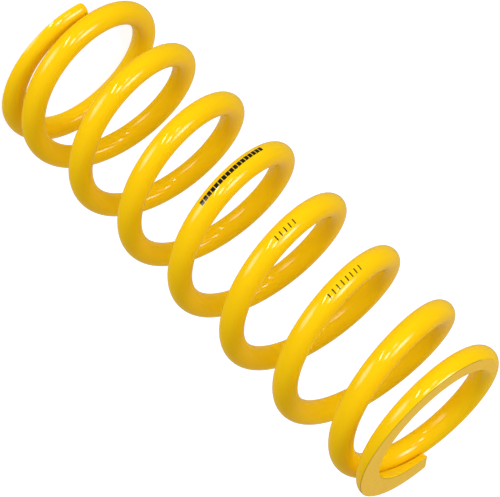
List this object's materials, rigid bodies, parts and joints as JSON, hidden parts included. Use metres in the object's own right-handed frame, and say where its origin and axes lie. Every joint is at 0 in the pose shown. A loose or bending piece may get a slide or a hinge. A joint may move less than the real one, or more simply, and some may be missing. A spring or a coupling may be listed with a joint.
{
  "type": "coil spring",
  "caption": "Cylindrical compression spring of round wire for a rear shock absorber, right-hand wound, with closed and ground ends and a glossy yellow coat.",
  "frame": {"origin": "centre of the lower ground face, on the spring's axis", "axes": "+Z along the spring's axis, from the lower ground face to the upper one; +X is square to it, and the lower wire tip lies 237.5 degrees round from +X"},
  "size_m": [0.0834, 0.0834, 0.2405],
  "materials": {
    "powder_coat": "glossy yellow powder coat on spring steel, matt where the ends are ground flat"
  },
  "bodies": {
    "lower_end_coil": {"lower_end_coil": "powder_coat"},
    "coil_1_quarter_1": {"coil_1_quarter_1": "powder_coat"},
    "coil_1_quarter_2": {"coil_1_quarter_2": "powder_coat"},
    "coil_1_quarter_3": {"coil_1_quarter_3": "powder_coat"},
    "coil_1_quarter_4": {"coil_1_quarter_4": "powder_coat"},
    "coil_2_quarter_1": {"coil_2_quarter_1": "powder_coat"},
    "coil_2_quarter_2": {"coil_2_quarter_2": "powder_coat"},
    "coil_2_quarter_3": {"coil_2_quarter_3": "powder_coat"},
    "coil_2_quarter_4": {"coil_2_quarter_4": "powder_coat"},
    "coil_3_quarter_1": {"coil_3_quarter_1": "powder_coat"},
    "coil_3_quarter_2": {"coil_3_quarter_2": "powder_coat"},
    "coil_3_quarter_3": {"coil_3_quarter_3": "powder_coat"},
    "coil_3_quarter_4": {"coil_3_quarter_4": "powder_coat"},
    "coil_4_quarter_1": {"coil_4_quarter_1": "powder_coat"},
    "coil_4_quarter_2": {"coil_4_quarter_2": "powder_coat"},
    "coil_4_quarter_3": {"coil_4_quarter_3": "powder_coat"},
    "coil_4_quarter_4": {"coil_4_quarter_4": "powder_coat"},
    "coil_5_quarter_1": {"coil_5_quarter_1": "powder_coat"},
    "coil_5_quarter_2": {"coil_5_quarter_2": "powder_coat"},
    "coil_5_quarter_3": {"coil_5_quarter_3": "powder_coat"},
    "coil_5_quarter_4": {"coil_5_quarter_4": "powder_coat"},
    "coil_6_quarter_1": {"coil_6_quarter_1": "powder_coat"},
    "coil_6_quarter_2": {"coil_6_quarter_2": "powder_coat"},
    "coil_6_quarter_3": {"coil_6_quarter_3": "powder_coat"},
    "upper_end_coil": {"upper_end_coil": "powder_coat"}
  },
  "joints": [
    {"name": "compression_01", "type": "slide", "parent": "lower_end_coil", "child": "coil_1_quarter_1", "axis": [0, 0, 1], "range_m": [-0.003, 0], "stiffness_N_per_m": 1200000},
    {"name": "compression_02", "type": "slide", "parent": "coil_1_quarter_1", "child": "coil_1_quarter_2", "axis": [0, 0, 1], "range_m": [-0.003, 0], "stiffness_N_per_m": 1200000},
    {"name": "compression_03", "type": "slide", "parent": "coil_1_quarter_2", "child": "coil_1_quarter_3", "axis": [0, 0, 1], "range_m": [-0.003, 0], "stiffness_N_per_m": 1200000},
    {"name": "compression_04", "type": "slide", "parent": "coil_1_quarter_3", "child": "coil_1_quarter_4", "axis": [0, 0, 1], "range_m": [-0.003, 0], "stiffness_N_per_m": 1200000},
    {"name": "compression_05", "type": "slide", "parent": "coil_1_quarter_4", "child": "coil_2_quarter_1", "axis": [0, 0, 1], "range_m": [-0.003, 0], "stiffness_N_per_m": 1200000},
    {"name": "compression_06", "type": "slide", "parent": "coil_2_quarter_1", "child": "coil_2_quarter_2", "axis": [0, 0, 1], "range_m": [-0.003, 0], "stiffness_N_per_m": 1200000},
    {"name": "compression_07", "type": "slide", "parent": "coil_2_quarter_2", "child": "coil_2_quarter_3", "axis": [0, 0, 1], "range_m": [-0.003, 0], "stiffness_N_per_m": 1200000},
    {"name": "compression_08", "type": "slide", "parent": "coil_2_quarter_3", "child": "coil_2_quarter_4", "axis": [0, 0, 1], "range_m": [-0.003, 0], "stiffness_N_per_m": 1200000},
    {"name": "compression_09", "type": "slide", "parent": "coil_2_quarter_4", "child": "coil_3_quarter_1", "axis": [0, 0, 1], "range_m": [-0.003, 0], "stiffness_N_per_m": 1200000},
    {"name": "compression_10", "type": "slide", "parent": "coil_3_quarter_1", "child": "coil_3_quarter_2", "axis": [0, 0, 1], "range_m": [-0.003, 0], "stiffness_N_per_m": 1200000},
    {"name": "compression_11", "type": "slide", "parent": "coil_3_quarter_2", "child": "coil_3_quarter_3", "axis": [0, 0, 1], "range_m": [-0.003, 0], "stiffness_N_per_m": 1200000},
    {"name": "compression_12", "type": "slide", "parent": "coil_3_quarter_3", "child": "coil_3_quarter_4", "axis": [0, 0, 1], "range_m": [-0.003, 0], "stiffness_N_per_m": 1200000},
    {"name": "compression_13", "type": "slide", "parent": "coil_3_quarter_4", "child": "coil_4_quarter_1", "axis": [0, 0, 1], "range_m": [-0.003, 0], "stiffness_N_per_m": 1200000},
    {"name": "compression_14", "type": "slide", "parent": "coil_4_quarter_1", "child": "coil_4_quarter_2", "axis": [0, 0, 1], "range_m": [-0.003, 0], "stiffness_N_per_m": 1200000},
    {"name": "compression_15", "type": "slide", "parent": "coil_4_quarter_2", "child": "coil_4_quarter_3", "axis": [0, 0, 1], "range_m": [-0.003, 0], "stiffness_N_per_m": 1200000},
    {"name": "compression_16", "type": "slide", "parent": "coil_4_quarter_3", "child": "coil_4_quarter_4", "axis": [0, 0, 1], "range_m": [-0.003, 0], "stiffness_N_per_m": 1200000},
    {"name": "compression_17", "type": "slide", "parent": "coil_4_quarter_4", "child": "coil_5_quarter_1", "axis": [0, 0, 1], "range_m": [-0.003, 0], "stiffness_N_per_m": 1200000},
    {"name": "compression_18", "type": "slide", "parent": "coil_5_quarter_1", "child": "coil_5_quarter_2", "axis": [0, 0, 1], "range_m": [-0.003, 0], "stiffness_N_per_m": 1200000},
    {"name": "compression_19", "type": "slide", "parent": "coil_5_quarter_2", "child": "coil_5_quarter_3", "axis": [0, 0, 1], "range_m": [-0.003, 0], "stiffness_N_per_m": 1200000},
    {"name": "compression_20", "type": "slide", "parent": "coil_5_quarter_3", "child": "coil_5_quarter_4", "axis": [0, 0, 1], "range_m": [-0.003, 0], "stiffness_N_per_m": 1200000},
    {"name": "compression_21", "type": "slide", "parent": "coil_5_quarter_4", "child": "coil_6_quarter_1", "axis": [0, 0, 1], "range_m": [-0.003, 0], "stiffness_N_per_m": 1200000},
    {"name": "compression_22", "type": "slide", "parent": "coil_6_quarter_1", "child": "coil_6_quarter_2", "axis": [0, 0, 1], "range_m": [-0.003, 0], "stiffness_N_per_m": 1200000},
    {"name": "compression_23", "type": "slide", "parent": "coil_6_quarter_2", "child": "coil_6_quarter_3", "axis": [0, 0, 1], "range_m": [-0.003, 0], "stiffness_N_per_m": 1200000},
    {"name": "compression_24", "type": "slide", "parent": "coil_6_quarter_3", "child": "upper_end_coil", "axis": [0, 0, 1], "range_m": [-0.003, 0], "stiffness_N_per_m": 1200000}
  ],
  "couplings": [
    {"joint": "compression_02", "follows": "compression_01", "ratio": 1},
    {"joint": "compression_03", "follows": "compression_01", "ratio": 1},
    {"joint": "compression_04", "follows": "compression_01", "ratio": 1},
    {"joint": "compression_05", "follows": "compression_01", "ratio": 1},
    {"joint": "compression_06", "follows": "compression_01", "ratio": 1},
    {"joint": "compression_07", "follows": "compression_01", "ratio": 1},
    {"joint": "compression_08", "follows": "compression_01", "ratio": 1},
    {"joint": "compression_09", "follows": "compression_01", "ratio": 1},
    {"joint": "compression_10", "follows": "compression_01", "ratio": 1},
    {"joint": "compression_11", "follows": "compression_01", "ratio": 1},
    {"joint": "compression_12", "follows": "compression_01", "ratio": 1},
    {"joint": "compression_13", "follows": "compression_01", "ratio": 1},
    {"joint": "compression_14", "follows": "compression_01", "ratio": 1},
    {"joint": "compression_15", "follows": "compression_01", "ratio": 1},
    {"joint": "compression_16", "follows": "compression_01", "ratio": 1},
    {"joint": "compression_17", "follows": "compression_01", "ratio": 1},
    {"joint": "compression_18", "follows": "compression_01", "ratio": 1},
    {"joint": "compression_19", "follows": "compression_01", "ratio": 1},
    {"joint": "compression_20", "follows": "compression_01", "ratio": 1},
    {"joint": "compression_21", "follows": "compression_01", "ratio": 1},
    {"joint": "compression_22", "follows": "compression_01", "ratio": 1},
    {"joint": "compression_23", "follows": "compression_01", "ratio": 1},
    {"joint": "compression_24", "follows": "compression_01", "ratio": 1}
  ]
}
